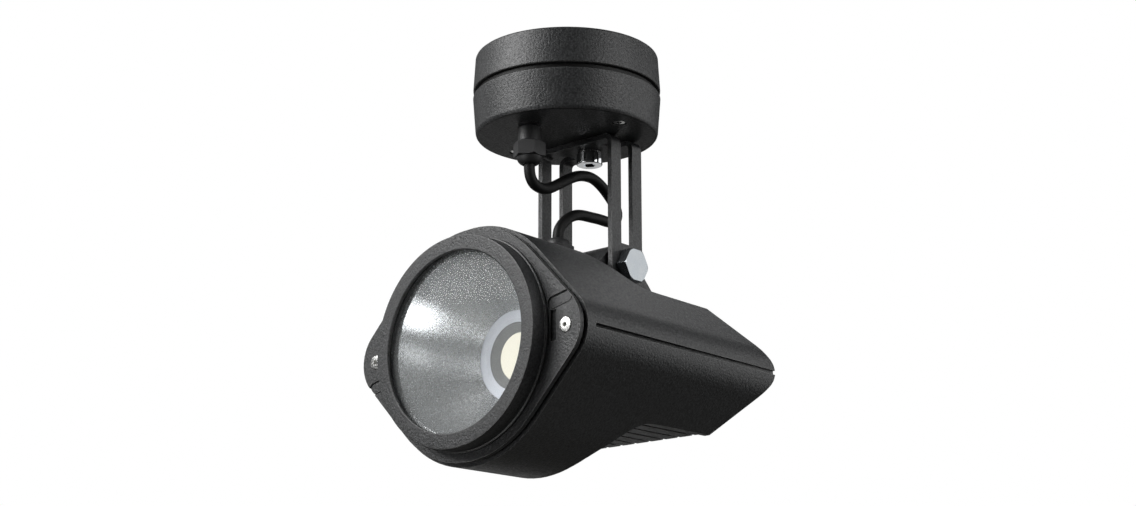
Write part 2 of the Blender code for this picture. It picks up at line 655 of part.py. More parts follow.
def build_housing():
    """One aluminium casting: a barrel with two ears, a finned rear and a lug on top for the pivot bolt."""
    front = HOUSING_FRONT
    rear = HOUSING_REAR - 2 * MM
    housing = prism("lamp_housing", lens_outline(HOUSING_R, EAR_X, HOUSING_EAR_R, 22), rear, front)
    for vertex in housing.data.vertices:
        shrink = 1 - DRAFT * (front - vertex.co.z) / (front - HOUSING_REAR)
        vertex.co.x *= shrink
        vertex.co.y *= shrink
    across = (0, -math.pi / 2, 0)  # local X then points forwards, and local Y up

    upper = shoulder_and_flat(1)
    lower = shoulder_and_flat(-1)
    side_view = prism("housing_side_view", upper + list(reversed(lower))[1:], -90 * MM, 90 * MM, True)
    place(side_view, optical_frame, (0, 0, 0), across)
    boolean(housing, side_view, "INTERSECT")

    cavity = turned(
        "housing_cavity",
        [
            (0, front + MM), (CAVITY_R, front + MM), (CAVITY_R - MM, CAVITY_FLOOR + 18 * MM),
            (40 * MM, CAVITY_FLOOR), (0, CAVITY_FLOOR),
        ],
        48,
        True,
    )
    cut(housing, cavity, optical_frame)

    build_rear_recess(housing, across)
    slot_view = [
        (43, 4), (-70, 4), (-70, 40), (13, 40), (21, 30), (43, 30),
    ]
    for number in range(-4, 5):
        start = number * FIN_PITCH - FIN_GAP / 2
        for side in (-1, 1):
            outline = [(forward * MM, side * up * MM) for forward, up in slot_view]
            slot = prism(f"fin_gap_{number}_{side}", outline, start, start + FIN_GAP, True)
            cut(housing, slot, optical_frame, (0, 0, 0), across)

    flank = math.sqrt(0.5) * LUG_R
    sunk = 31.7 * MM
    rear_foot = -flank - (DROP + flank - sunk)
    lug_view = arc(0, DROP, LUG_R, 45, 135, 8) + [(rear_foot, sunk), (36 * MM, sunk), (36 * MM, 39 * MM)]
    lug_view += [(28.5 * MM, DROP + flank - (28.5 * MM - flank))]
    lug = prism("housing_lug", lug_view, -LUG_HALF, LUG_HALF, True)
    join(housing, lug, optical_frame, (0, 0, 0), across)

    boss = disc("gland_boss", 9.4 * MM, 38 * MM, LAMP_GLAND_UP + MM, 24, True)
    level = (-math.pi / 2, 0, 0)  # local +Z then points up in the optical frame
    gland_forward = PAN_Y - LAMP_GLAND_Y
    join(housing, boss, optical_frame, (0, 0, gland_forward), level)
    spot_face = disc("gland_spot_face", 9.8 * MM, LAMP_GLAND_UP, LAMP_GLAND_UP + 20 * MM, 24, True)
    cut(housing, spot_face, optical_frame, (0, 0, gland_forward), level)
    thread = disc("gland_thread_hole", 6.2 * MM, 40.2 * MM, LAMP_GLAND_UP + MM, 24, True)
    cut(housing, thread, optical_frame, (0, 0, gland_forward), level)
    wire_way = disc("wire_way", 2.8 * MM, gland_forward + 0.4 * MM, CAVITY_FLOOR + 24 * MM, 14, True)
    cut(housing, wire_way, optical_frame, (0.13 * MM, 41.3 * MM, 0), (0, 0, 0.1))

    bolt_bore = disc("lug_bore", BOLT_R + GAP, -30 * MM, 30 * MM, 24, True)
    cut(housing, bolt_bore, optical_frame, (0, DROP, 0), (0, math.pi / 2, 0))

    groove_front = 85 * MM
    groove_rear = -80 * MM
    for side in (-1, 1):
        deep = 8 * MM
        tip = EAR_X + HOUSING_EAR_R
        groove = block(f"ear_groove_{side}", (deep, GROOVE_WIDTH, groove_front - groove_rear), cutter=True)
        groove_x = side * (tip - GROOVE_DEPTH - 0.8 * MM + deep / 2)
        cut(housing, groove, optical_frame, (groove_x, 0, (groove_front + groove_rear) / 2))
        hole = disc(f"flange_screw_hole_{side}", 2.0 * MM + GAP, front - 14 * MM, front + MM, 16, True)
        cut(housing, hole, optical_frame, (side * FLANGE_SCREW_X, 0, 0))
        holder_hole = disc(f"holder_screw_hole_{side}", 1.5 * MM + GAP, CAVITY_FLOOR - 8 * MM, CAVITY_FLOOR + MM, 12, True)
        cut(housing, holder_hole, optical_frame, (side * 29 * MM, 0, 0))
    finish(housing, POWDER_COAT, optical_frame)


# ---------------------------------------------------------------- lamp front


def build_flange():
    """The front plate, its gasket and its two screws. Each ear has a shallow oval recess, and a notch to free the bezel."""
    low = FLANGE_FRONT - 2.5 * MM
    plate = prism("front_flange", lens_outline(FLANGE_R, EAR_X, FLANGE_EAR_R, 22), low, FLANGE_FRONT)
    cut(plate, disc("flange_opening", 52.6 * MM, low - MM, FLANGE_FRONT + MM, 48, True), optical_frame)
    for side in (-1, 1):
        hole = disc(f"flange_hole_{side}", 2.0 * MM + GAP, low - MM, FLANGE_FRONT + MM, 16, True)
        cut(plate, hole, optical_frame, (side * FLANGE_SCREW_X, 0, 0))
        sink = disc(f"flange_sink_{side}", 4.0 * MM, FLANGE_FRONT - 1.4 * MM, FLANGE_FRONT + MM, 24, True)
        cut(plate, sink, optical_frame, (side * FLANGE_SCREW_X, 0, 0))
        oval = arc(4.6 * MM, 0, 3.0 * MM, -90, 90, 8) + arc(-4.6 * MM, 0, 3.0 * MM, 90, 270, 8)
        mark = prism(f"ear_oval_{side}", oval, FLANGE_FRONT - 0.5 * MM, FLANGE_FRONT + MM, True)
        cut(plate, mark, optical_frame, (side * 62.8 * MM, side * 13.1 * MM, 0), (0, 0, math.radians(12)))
        notch = block(f"bezel_notch_{side}", (3.8 * MM, 15.5 * MM, 3 * MM), cutter=True)
        cut(plate, notch, optical_frame, (side * 58.4 * MM, 0.8 * MM, FLANGE_FRONT))
    finish(plate, POWDER_COAT, optical_frame)

    gasket = prism(
        "flange_gasket",
        lens_outline(FLANGE_R - 1.6 * MM, EAR_X, FLANGE_EAR_R - 1.6 * MM, 22),
        HOUSING_FRONT + GAP,
        low - GAP,
    )
    cut(gasket, disc("gasket_opening", 53.2 * MM, low - 5 * MM, low + MM, 48, True), optical_frame)
    for side in (-1, 1):
        hole = disc(f"gasket_hole_{side}", 3.0 * MM, low - 5 * MM, low + MM, 16, True)
        cut(gasket, hole, optical_frame, (side * FLANGE_SCREW_X, 0, 0))
    finish(gasket, BLACK_RUBBER, optical_frame)

    for name, side in (("flange_screw_left", -1), ("flange_screw_right", 1)):
        at = (side * FLANGE_SCREW_X, 0, FLANGE_FRONT + 0.6 * MM)
        socket_screw(name, 3.6 * MM, 1.7 * MM, 2.0 * MM, 14 * MM, 2.5 * MM, optical_frame, at, (math.pi, 0, 0))


def build_bezel():
    """The round barrel that holds the glass, turned with a small lip at its foot and a neck through the flange."""
    foot = FLANGE_FRONT + GAP
    front = BEZEL_FRONT
    bezel = turned(
        "bezel_ring",
        [
            (BEZEL_BORE_R, front), (BEZEL_R - 0.6 * MM, front), (BEZEL_R, front - 0.6 * MM), (BEZEL_R, foot + 1.4 * MM),
            (BEZEL_R + 0.9 * MM, foot + 1.1 * MM), (BEZEL_R + 0.9 * MM, foot), (52.2 * MM, foot),
            (52.2 * MM, HOUSING_FRONT - 3 * MM), (50.6 * MM, HOUSING_FRONT - 3 * MM), (50.6 * MM, front - 2 * MM),
            (BEZEL_BORE_R, front - 2 * MM),
        ],
        56,
    )
    finish(bezel, POWDER_COAT, optical_frame)

    seal = ring("glass_gasket", 47.2 * MM, 50.2 * MM, front - 3.3 * MM, front - 2.3 * MM, 48)
    finish(seal, BLACK_RUBBER, optical_frame)
    glass = disc("front_glass", 50.0 * MM, front - 7.6 * MM, front - 3.6 * MM, 48)
    finish(glass, CLEAR_GLASS, optical_frame)


def build_optics():
    """Reflector, its collar, and the LED on its holder, stacked on the cavity floor."""
    steps = 6
    depth = MOUTH - THROAT
    curve = []
    for i in range(steps + 1):
        t = i / steps
        bow = 3.2 * MM * math.sin(math.pi * t)
        curve.append((MOUTH_R + (THROAT_R - MOUTH_R) * t + bow, MOUTH - depth * t))
    wall = 1.0 * MM
    outer = [(radius + wall, height) for radius, height in curve]
    rim = 49.8 * MM
    profile = [(MOUTH_R, MOUTH), (rim, MOUTH), (rim, MOUTH - wall)]
    profile += [(outer[0][0] + 0.3 * MM, MOUTH - wall)] + outer[1:] + list(reversed(curve[1:]))
    reflector = turned("reflector", profile, 48)
    finish(reflector, ALUMINIUM, optical_frame)

    collar_top = THROAT - GAP
    collar = turned(
        "reflector_collar",
        [
            (19.2 * MM, collar_top), (25.2 * MM, collar_top), (25.2 * MM, collar_top - 1.2 * MM),
            (17.8 * MM, collar_top - 1.2 * MM),
        ],
        48,
    )
    finish(collar, WHITE_PLASTIC, optical_frame)

    holder_low = CAVITY_FLOOR + 2.6 * MM
    holder_top = collar_top - 1.2 * MM - GAP
    holder = turned(
        "led_holder",
        [
            (16.4 * MM, holder_top), (24.5 * MM, holder_top), (24.5 * MM, holder_low + 1.8 * MM),
            (33 * MM, holder_low + 1.8 * MM), (33 * MM, holder_low), (13.1 * MM, holder_low),
        ],
        48,
    )
    for side in (-1, 1):
        hole = disc(f"holder_hole_{side}", 1.5 * MM + GAP, holder_low - MM, holder_low + 4 * MM, 12, True)
        cut(holder, hole, optical_frame, (side * 29 * MM, 0, 0))
    finish(holder, GREY_PLASTIC, optical_frame)
    for name, side in (("holder_screw_left", -1), ("holder_screw_right", 1)):
        head_at = (side * 29 * MM, 0, holder_low + 1.8 * MM + GAP + 2.0 * MM)
        socket_screw(name, 2.7 * MM, 2.0 * MM, 1.5 * MM, 10 * MM, 2.0 * MM, optical_frame, head_at, (math.pi, 0, 0))

    pad = block("thermal_pad", (27 * MM, 27 * MM, 0.5 * MM), (0, 0, CAVITY_FLOOR + GAP + 0.25 * MM))
    finish(pad, THERMAL_PAD, optical_frame)
    board_low = CAVITY_FLOOR + 2 * GAP + 0.5 * MM
    board = block("led_board", (27 * MM, 27 * MM, 1.2 * MM), (0, 0, board_low + 0.6 * MM))
    finish(board, CERAMIC, optical_frame)
    emitter_low = board_low + 1.2 * MM + GAP
    emitter = turned(
        "led_emitter",
        [
            (0, emitter_low + 1.0 * MM), (LED_R - 0.5 * MM, emitter_low + 1.0 * MM), (LED_R, emitter_low + 0.6 * MM),
            (LED_R, emitter_low), (0, emitter_low),
        ],
        40,
    )
    finish(emitter, PHOSPHOR, optical_frame)


build_canopy_base()
build_entry_grommet()
build_canopy_gasket()
build_canopy_cover()
build_cover_screws()
build_canopy_electrics()
build_pan_bearing()
build_gland("canopy", 7 * MM, canopy_frame, (0, GLAND_Y, -CANOPY_HEIGHT), (math.pi, 0, 0))
build_gland_locknut()
build_yoke()
build_pivot()
build_cord()
build_housing()
build_gland("lamp", 6 * MM, pivot_frame, (0, LAMP_GLAND_Y - PAN_Y, LAMP_GLAND_UP - DROP), (0, 0, 0))
build_flange()
build_bezel()
build_optics()
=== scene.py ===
import math

import bpy
from mathutils import Matrix, Vector


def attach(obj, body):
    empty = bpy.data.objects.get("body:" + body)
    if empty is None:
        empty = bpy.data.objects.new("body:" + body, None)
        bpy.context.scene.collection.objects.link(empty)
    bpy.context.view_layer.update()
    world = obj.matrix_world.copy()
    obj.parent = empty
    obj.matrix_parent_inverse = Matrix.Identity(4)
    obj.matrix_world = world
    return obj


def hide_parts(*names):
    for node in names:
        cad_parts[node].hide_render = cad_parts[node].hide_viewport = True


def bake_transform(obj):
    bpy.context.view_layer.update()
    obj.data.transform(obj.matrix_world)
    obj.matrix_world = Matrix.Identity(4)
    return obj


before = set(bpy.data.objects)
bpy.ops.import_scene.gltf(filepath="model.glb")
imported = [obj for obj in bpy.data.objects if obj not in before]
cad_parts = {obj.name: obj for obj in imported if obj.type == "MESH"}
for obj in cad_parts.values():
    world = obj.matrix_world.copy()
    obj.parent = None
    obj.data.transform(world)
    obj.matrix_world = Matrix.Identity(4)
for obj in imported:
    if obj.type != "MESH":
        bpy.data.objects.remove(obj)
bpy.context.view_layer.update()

# ---------------------------------------------------------------- camera, floor and light
# The camera looks up at the lamp from in front and to its right, level from side to side. The floor lies
# under it, and soft boxes stand all round: the strongest left, a wide one right, and dim ones low and behind.

MM = 0.001


def hex_colour(code):
    """An sRGB hex value as the linear colour that a shader takes."""
    channels = [int(code[i : i + 2], 16) / 255 for i in (1, 3, 5)]
    linear = [c / 12.92 if c <= 0.04045 else ((c + 0.055) / 1.055) ** 2.4 for c in channels]
    return (*linear, 1.0)


def add_node(tree, kind, settings=None, inputs=None):
    """Adds a node with its settings, and with each input set to a value or linked to another's output."""
    made = tree.nodes.new(kind)
    for name, value in (settings or {}).items():
        setattr(made, name, value)
    for name, value in (inputs or {}).items():
        if isinstance(value, bpy.types.NodeSocket):
            tree.links.new(value, made.inputs[name])
        else:
            made.inputs[name].default_value = value
    return made


def nothing_selected():
    """Leaves edit mode and clears the selection, so that the next step starts clean."""
    if bpy.context.mode != "OBJECT":
        bpy.ops.object.mode_set(mode="OBJECT")
    bpy.ops.object.select_all(action="DESELECT")


LAMP_CENTRE = Vector((0, -0.01, -0.13))  # what the lights are aimed at
TO_CAMERA = 41.41  # the camera's bearing from the lamp, in degrees from -Y towards +X
CAMERA_RISE = 15.305  # how far it looks up, in degrees
CAMERA_PLACE = (0.6798, -0.7698, -0.3922)
FLOOR_Z = -1.0

camera = bpy.data.cameras.new("camera")
camera.lens = 62.5
camera.sensor_width = 36
camera.clip_start = 0.01
camera_stand = bpy.data.objects.new("camera", camera)
camera_stand.location = CAMERA_PLACE
camera_stand.rotation_euler = (math.radians(90 + CAMERA_RISE), 0, math.radians(TO_CAMERA))
bpy.context.scene.collection.objects.link(camera_stand)
bpy.context.scene.camera = camera_stand

nothing_selected()
bpy.ops.mesh.primitive_plane_add(size=8, location=(0, 0, FLOOR_Z))
floor = bpy.context.object
floor.name = "floor"
paint = bpy.data.materials.new("matt_studio_floor_paint")
paint.use_nodes = True
cove = paint.node_tree
cove.nodes.clear()
looked_at = add_node(cove, "ShaderNodeLightPath")
matt = add_node(cove, "ShaderNodeBsdfDiffuse", inputs={"Color": hex_colour("#747370")})
glow = add_node(cove, "ShaderNodeEmission", inputs={"Color": (1, 1, 1, 1), "Strength": 1.0})
white_when_seen = add_node(
    cove,
    "ShaderNodeMixShader",
    inputs={0: looked_at.outputs["Is Camera Ray"], 1: matt.outputs[0], 2: glow.outputs[0]},
)
add_node(cove, "ShaderNodeOutputMaterial", inputs={"Surface": white_when_seen.outputs[0]})
floor.data.materials.append(paint)

bpy.context.scene.view_settings.view_transform = "Standard"
world = bpy.data.worlds.new("studio")
bpy.context.scene.world = world
world.use_nodes = True
sky = world.node_tree
sky.nodes.clear()
seen = add_node(sky, "ShaderNodeLightPath")
backdrop = add_node(sky, "ShaderNodeBackground", inputs={"Color": (1, 1, 1, 1), "Strength": 1.0})
ambient = add_node(sky, "ShaderNodeBackground", inputs={"Color": hex_colour("#e6e8ea"), "Strength": 0.1})
sky_and_backdrop = add_node(
    sky,
    "ShaderNodeMixShader",
    inputs={0: seen.outputs["Is Camera Ray"], 1: ambient.outputs[0], 2: backdrop.outputs[0]},
)
add_node(sky, "ShaderNodeOutputWorld", inputs={"Surface": sky_and_backdrop.outputs[0]})


def soft_light(name, bearing, height, distance, size, brightness):
    """An evenly bright soft box, placed in degrees right of the camera and degrees up, and in metres."""
    light = bpy.data.lights.new(name, "AREA")
    light.shape = "RECTANGLE"
    light.size, light.size_y = size
    light.energy = brightness * math.pi * size[0] * size[1]
    turn, lift = math.radians(TO_CAMERA + bearing), math.radians(height)
    way = Vector((math.sin(turn) * math.cos(lift), -math.cos(turn) * math.cos(lift), math.sin(lift)))
    stand = bpy.data.objects.new(name, light)
    stand.location = LAMP_CENTRE + way * distance
    stand.rotation_euler = (-way).to_track_quat("-Z", "Y").to_euler()
    bpy.context.scene.collection.objects.link(stand)


soft_light("light_left", -69, 33, 1.15, (0.75, 0.85), 8.6)
soft_light("light_right", 60, 22, 1.5, (1.1, 1.0), 3.0)
soft_light("light_rear_right", 104, 6, 1.5, (1.1, 1.2), 1.35)
soft_light("light_low_left", -56, -20, 1.2, (0.7, 0.4), 3.6)
soft_light("light_low_rear", -172, -13, 1.3, (0.7, 0.3), 0.5)
soft_light("light_rear_left", -122, 20, 1.5, (0.9, 0.9), 0.6)
soft_light("light_top_rear", 165, 50, 1.4, (1.0, 0.8), 1.1)

# ---------------------------------------------------------------- finishes of the cast and bent pieces
# Polyester powder coat on aluminium: sprayed dry and baked, so it has a fine sandy grain and a soft broken
# gloss.
# Its thin paler edges are painted highlights. The grain is drawn about a millimetre wide, coarser than it is,
# so that it shows.


def object_space(tree):
    """Coordinates that stay with the piece, in metres."""
    return add_node(tree, "ShaderNodeTexCoord").outputs["Object"]


def two_shades(tree, factor, shades):
    """A colour that drifts between two hex shades by a factor."""
    mix = add_node(tree, "ShaderNodeMix", {"data_type": "RGBA"}, {"Factor": factor})
    mix.inputs[6].default_value = hex_colour(shades[0])
    mix.inputs[7].default_value = hex_colour(shades[1])
    return mix


def per_mm(size):
    """The scale at which a noise pattern's lumps are this many millimetres apart."""
    return 1 / (size * MM)


def new_finish(name, colour, roughness, metallic=0.0, **more):
    """A plain finish. Any other input of the shader is given by its name, with _ for each space."""
    made = bpy.data.materials.new(name)
    made.use_nodes = True
    shader = made.node_tree.nodes["Principled BSDF"]
    shader.inputs["Base Color"].default_value = hex_colour(colour)
    shader.inputs["Roughness"].default_value = roughness
    shader.inputs["Metallic"].default_value = metallic
    for socket, value in more.items():
        shader.inputs[socket.replace("_", " ")].default_value = value
    return made


def grain(finish, size, strength, depth_mm, rough, tint=None, tint_size=None):
    """A bumpy surface, with lumps of that size in millimetres, a range of roughness and a drifting tint."""
    tree = finish.node_tree
    shader = tree.nodes["Principled BSDF"]
    place = object_space(tree)
    lumps = add_node(
        tree,
        "ShaderNodeTexNoise",
        inputs={"Vector": place, "Scale": per_mm(size), "Detail": 3.0, "Roughness": 0.6},
    )
    bump = add_node(
        tree,
        "ShaderNodeBump",
        inputs={"Height": lumps.outputs["Fac"], "Strength": strength, "Distance": depth_mm * MM},
    )
    tree.links.new(bump.outputs[0], shader.inputs["Normal"])
    if tint:
        drift = add_node(
            tree, "ShaderNodeTexNoise", inputs={"Vector": place, "Scale": per_mm(tint_size), "Detail": 4.0}
        )
        tree.links.new(two_shades(tree, drift.outputs["Fac"], tint).outputs[2], shader.inputs["Base Color"])
    spread = add_node(
        tree,
        "ShaderNodeMapRange",
        inputs={
            "Value": lumps.outputs["Fac"], "From Min": 0.3, "From Max": 0.7,
            "To Min": rough[0], "To Max": rough[1],
        },
    )
    tree.links.new(spread.outputs[0], shader.inputs["Roughness"])
    return finish


def speckle_and_edge_highlights(finish, shades, edge_highlight_colour, edge_highlight_mm):
    """Sandy speckle of two shades, and thin paler edges that are painted highlights, mixed in where a bevel's
    rounded normal turns from the face's.
    """
    tree = finish.node_tree
    shader = tree.nodes["Principled BSDF"]
    grains = add_node(
        tree,
        "ShaderNodeTexNoise",
        inputs={"Vector": object_space(tree), "Scale": per_mm(1.0), "Detail": 2.0, "Roughness": 0.5},
    )
    spread = add_node(
        tree,
        "ShaderNodeMapRange",
        inputs={"Value": grains.outputs["Fac"], "From Min": 0.36, "From Max": 0.64},
    )
    speckle = two_shades(tree, spread.outputs[0], shades)
    rounded = add_node(tree, "ShaderNodeBevel", {"samples": 4}, {"Radius": edge_highlight_mm * MM})
    true_side = add_node(tree, "ShaderNodeNewGeometry")
    along = add_node(
        tree,
        "ShaderNodeVectorMath",
        {"operation": "DOT_PRODUCT"},
        {0: rounded.outputs[0], 1: true_side.outputs["Normal"]},
    )
    # Painted highlight: where the rounded normal turns away from the face's, the colour is mixed up to half
    # way to the paler edge shade.
    edge = add_node(
        tree,
        "ShaderNodeMapRange",
        inputs={
            "Value": along.outputs["Value"], "From Min": 0.98, "From Max": 0.86, "To Min": 0.0, "To Max": 0.5,
        },
    )
    edge_highlighted = add_node(tree, "ShaderNodeMix", {"data_type": "RGBA"}, {"Factor": edge.outputs[0]})
    tree.links.new(speckle.outputs[2], edge_highlighted.inputs[6])
    edge_highlighted.inputs[7].default_value = hex_colour(edge_highlight_colour)
    tree.links.new(edge_highlighted.outputs[2], shader.inputs["Base Color"])
    return finish


powder_coat = grain(
    new_finish("textured_polyester_powder_coat", "#1e1f20", 0.44), 1.2, 1.0, 0.3, (0.34, 0.54)
)
# The coat's edges get a painted highlight of #7c7c79, half a millimetre wide.
speckle_and_edge_highlights(powder_coat, ("#0f1011", "#2f3031"), "#7c7c79", 0.5)
black_nylon = grain(
    new_finish("black_moulded_nylon", "#1d1d1e", 0.5),
    0.9, 0.2, 0.06, (0.42, 0.58), ("#19191a", "#232324"), 4.0,
)
black_rubber = grain(
    new_finish("black_neoprene_rubber", "#0e0e0e", 0.5, Specular_IOR_Level=0.2),
    0.8, 0.2, 0.06, (0.44, 0.6), ("#0b0b0b", "#121212"), 3.0,
)
zinc_plate = grain(
    new_finish("bright_zinc_plated_steel", "#9ea4a8", 0.26, 1.0),
    3.0, 0.05, 0.01, (0.2, 0.28), ("#989ea4", "#a6a9aa"), 5.0,
)
chrome = grain(
    new_finish("polished_chrome", "#dadcde", 0.06, 1.0),
    2.0, 0.03, 0.01, (0.04, 0.09), ("#d6d8db", "#dfe0e1"), 5.0,
)
stainless = grain(
    new_finish("satin_stainless_steel", "#d2d2d0", 0.24, 1.0),
    0.5, 0.08, 0.02, (0.18, 0.3), ("#cacac8", "#dcdcda"), 1.5,
)
grey_plastic = grain(
    new_finish("grey_moulded_pbt", "#696a6a", 0.45),
    0.6, 0.15, 0.05, (0.42, 0.56), ("#646565", "#6f706f"), 4.0,
)
white_plastic = grain(
    new_finish("white_moulded_pbt", "#dde2ec", 0.4),
    0.6, 0.12, 0.04, (0.34, 0.46), ("#d8dde8", "#e4e8f0"), 4.0,
)


def modified(piece, kind, **settings):
    """Adds a modifier, sets it and applies it."""
    nothing_selected()
    bpy.context.view_layer.objects.active = piece
    piece.select_set(True)
    step = piece.modifiers.new(kind.lower(), kind)
    for name, value in settings.items():
        setattr(step, name, value)
    bpy.ops.object.modifier_apply(modifier=step.name)
    return piece


def finished(piece, body, node, finish):
    """Gives a piece its finish, hangs it on the body it moves with, and hides the solid it stands for."""
    nothing_selected()
    bpy.context.view_layer.objects.active = piece
    piece.select_set(True)
    bpy.ops.object.transform_apply(location=True, rotation=True, scale=True)
    bpy.ops.object.shade_smooth_by_angle(angle=math.radians(30))
    modified(piece, "WEIGHTED_NORMAL", keep_sharp=True, weight=80)
    piece.data.materials.clear()
    piece.data.materials.append(finish)
    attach(piece, body)
    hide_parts(node)


def turned(name, section, centre, out, along, steps=128):
    """Spins a section of (radius, distance along), in millimetres, round an axis. It closes off the axis."""
    nothing_selected()
    centre, out, along = Vector(centre), Vector(out), Vector(along)
    points = [centre + out * radius * MM + along * far * MM for radius, far in section]
    if section[0][0] > 0 or section[-1][0] > 0:
        points.append(points[0])
    bpy.ops.mesh.primitive_plane_add(size=MM, enter_editmode=True)
    piece = bpy.context.object
    piece.name = piece.data.name = name
    bpy.ops.mesh.merge(type="CENTER")
    bpy.ops.transform.translate(value=points[0])
    for start, end in zip(points, points[1:]):
        bpy.ops.mesh.extrude_vertices_move(TRANSFORM_OT_translate={"value": end - start})
    bpy.ops.mesh.select_all(action="SELECT")
    bpy.ops.mesh.spin(steps=steps, angle=math.tau, center=centre, axis=along)
    bpy.ops.mesh.select_all(action="SELECT")
    bpy.ops.mesh.remove_doubles(threshold=1e-6)
    bpy.ops.mesh.normals_make_consistent(inside=False)
    bpy.ops.object.mode_set(mode="OBJECT")
    return piece


def eased(piece, width, segments=2, angle=35):
    """Rounds a piece's sharp edges, by a width in millimetres."""
    return modified(
        piece, "BEVEL", width=width * MM, segments=segments, limit_method="ANGLE",
        angle_limit=math.radians(angle), miter_outer="MITER_ARC", harden_normals=False,
    )


def cut_by(piece, *tools, operation="DIFFERENCE"):
    """Cuts a piece with tools, which are then taken away."""
    for tool in tools:
        modified(piece, "BOOLEAN", object=tool, operation=operation, solver="EXACT")
        bpy.data.objects.remove(tool)
    return piece


COVER_SCREW_X = 37.6  # the four places here are in millimetres
GLAND_Y = -30.2
PAN_Y = 19
LAMP_AXIS_Z = -174.4
UP = (0, 0, 1)
DOWN = (0, 0, -1)
RIGHT = (1, 0, 0)
REAR = (0, 1, 0)
FORWARD = (0, -1, 0)

# ---------------------------------------------------------------- canopy base
# The upper dish, die-cast in aluminium and powder coated, which is screwed to the ceiling through two slots.
# Its side leans out a little towards the seam, so that it leaves its mould.

base = turned(
    "canopy_base_shell",
    [
        (0, 0), (48.8, 0), (49.6, -0.2), (50.15, -0.65), (50.5, -1.5), (51.55, -19.3), (51.5, -19.9),
        (51.15, -20.3), (49.0, -20.3), (47.9, -3.0), (0, -3.0),
    ],
    (0, 0, 0), RIGHT, UP, 160,
)
SLOT_AT = (25, 8)
SLOT_HALF = 3.7
for side in (-1, 1):
    slot_at = (side * SLOT_AT[0] * MM, SLOT_AT[1] * MM, 0)
    screw_at = (side * COVER_SCREW_X * MM, 0, 0)
    slot = turned(f"slot_tool_{side}", [(0, 5), (2.3, 5), (2.3, -8), (0, -8)], slot_at, RIGHT, UP, 32)
    nothing_selected()
    bpy.context.view_layer.objects.active = slot
    bpy.ops.object.mode_set(mode="EDIT")
    bpy.ops.mesh.select_all(action="DESELECT")
    bpy.ops.object.mode_set(mode="OBJECT")
    for vertex in slot.data.vertices:
        vertex.select = vertex.co.y > SLOT_AT[1] * MM + 1e-6
    bpy.ops.object.mode_set(mode="EDIT")
    bpy.ops.transform.translate(value=(0, SLOT_HALF * MM, 0))
    bpy.ops.mesh.select_all(action="INVERT")
    bpy.ops.transform.translate(value=(0, -SLOT_HALF * MM, 0))
    bpy.ops.object.mode_set(mode="OBJECT")
    post = turned(f"post_{side}", [(0, -2), (4.2, -2), (4.2, -19.9), (0, -19.9)], screw_at, RIGHT, UP, 32)
    bore = turned(f"bore_{side}", [(0, -5), (2.3, -5), (2.3, -24), (0, -24)], screw_at, RIGHT, UP, 24)
    cut_by(base, slot)
    cut_by(base, post, operation="UNION")
    cut_by(base, bore)
ENTRY_AT = (0, -14 * MM, 0)
entry = turned("entry_tool", [(0, 5), (6.5, 5), (6.5, -8), (0, -8)], ENTRY_AT, RIGHT, UP, 40)
cut_by(base, entry)
finished(base, "canopy", "canopy_base", powder_coat)

# The rubber grommet that the mains cable comes through, moulded with a groove that grips the plate.
grommet = turned(
    "entry_grommet_moulding",
    [
        (3.4, -0.7), (3.7, -0.4), (5.9, -0.4), (6.2, -0.7), (6.2, -3.3), (8.1, -3.3), (8.4, -3.6),
        (8.4, -4.3), (8.1, -4.6), (3.7, -4.6), (3.4, -4.3),
    ],
    ENTRY_AT, RIGHT, UP, 48,
)
finished(grommet, "canopy", "entry_grommet", black_rubber)

# ---------------------------------------------------------------- canopy seal and cover
# A flat rubber ring, set back in the seam, and the lower dish: the same casting and coat, drawn in towards
# its flat underside, with a sunk seat for each screw and a shallow one for the washer the yoke turns on.

seal = turned(
    "seam_seal",
    [(47.5, -20.6), (49.3, -20.6), (49.6, -20.9), (49.6, -22.8), (49.3, -23.1), (47.5, -23.1)],
    (0, 0, 0), RIGHT, UP, 128,
)
finished(seal, "canopy", "canopy_gasket", black_rubber)

cover = turned(
    "canopy_cover_shell",
    [
        (0, -42.9), (47.3, -42.9), (49.0, -23.4), (51.15, -23.4), (51.5, -23.75), (51.6, -24.3),
        (50.05, -43.6), (49.75, -44.7), (49.15, -45.5), (48.2, -45.9), (0, -45.9),
    ],
    (0, 0, 0), RIGHT, UP, 160,
)
for side in (-1, 1):
    at = (side * COVER_SCREW_X * MM, 0, 0)
    sleeve = turned("sleeve", [(0, -21.4), (5.6, -21.4), (5.6, -44.9), (0, -44.9)], at, RIGHT, UP, 32)
    cut_by(cover, sleeve, operation="UNION")
    cut_by(cover, turned("hole", [(0, -15), (2.3, -15), (2.3, -50), (0, -50)], at, RIGHT, UP, 24))
    seat = [(0, -41.7), (3.9, -41.7), (3.9, -45.5), (4.6, -46.3), (0, -46.3)]
    cut_by(cover, turned("seat", seat, at, RIGHT, UP, 40))
for name, radius, top, y, steps in (
    ("gland_tool", 6.2, -38, GLAND_Y, 40),
    ("bolt_tool", 4.3, -38, PAN_Y, 40),
    ("washer_tool", 12.6, -45, PAN_Y, 64),
):
    section = [(0, top), (radius, top), (radius, -50), (0, -50)]
    cut_by(cover, turned(name, section, (0, y * MM, 0), RIGHT, UP, steps))
finished(cover, "canopy", "canopy_cover", powder_coat)

# ---------------------------------------------------------------- cap screws
# Stainless socket screws with a rounded rim: two hold the cover up, two hold the front flange, and two small
# ones hold the LED's carrier. Each head is turned, and its hexagon socket is broached in.


